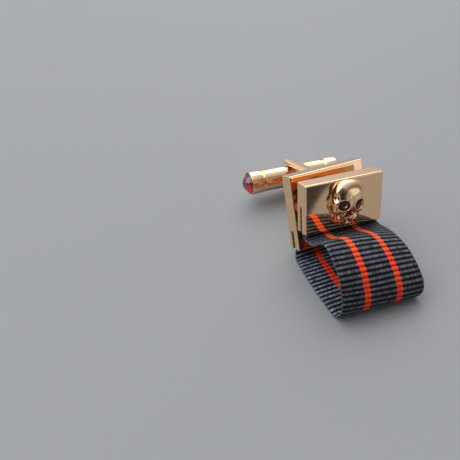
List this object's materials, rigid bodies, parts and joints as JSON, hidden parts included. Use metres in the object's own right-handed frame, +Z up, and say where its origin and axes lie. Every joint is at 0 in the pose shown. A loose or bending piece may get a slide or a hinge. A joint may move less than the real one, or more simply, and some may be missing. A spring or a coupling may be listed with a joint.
{
  "type": "ribbon and toggle cufflink",
  "caption": "Closed cufflink: polished rose gold block with a raised skull, a hole plate on a fork with a swivelling stone-set toggle, and a striped ribbon loop joining block and plate.",
  "frame": {"origin": "on the surface that the cufflink lies on, under the middle of its box", "axes": "+X to the right along the face block, +Y from the skull's face back along the fork to the toggle, +Z up"},
  "size_m": [0.022, 0.0391, 0.0166],
  "materials": {
    "rose_gold": "polished rose gold plate",
    "garnet": "faceted, dark red",
    "ruby": "faceted, magenta red",
    "ribbon": "ribbed grosgrain, charcoal with two orange red stripes"
  },
  "bodies": {
    "link": {"face_block": "rose_gold", "skull": "rose_gold", "eye_stone_left": "garnet", "eye_stone_right": "garnet", "pivot_pin": "rose_gold", "hole_plate": "rose_gold", "rivet_left": "rose_gold", "rivet_right": "rose_gold", "ribbon": "ribbon"},
    "toggle": {"toggle_bar": "rose_gold", "toggle_stone": "ruby"}
  },
  "joints": [
    {"name": "toggle_swivel", "type": "hinge", "parent": "link", "child": "toggle", "pos_m": [0.0001, 0.01659, 0.00402], "axis": [0.0663, 0.3364, 0.9394], "range_deg": [-90, 90]}
  ]
}
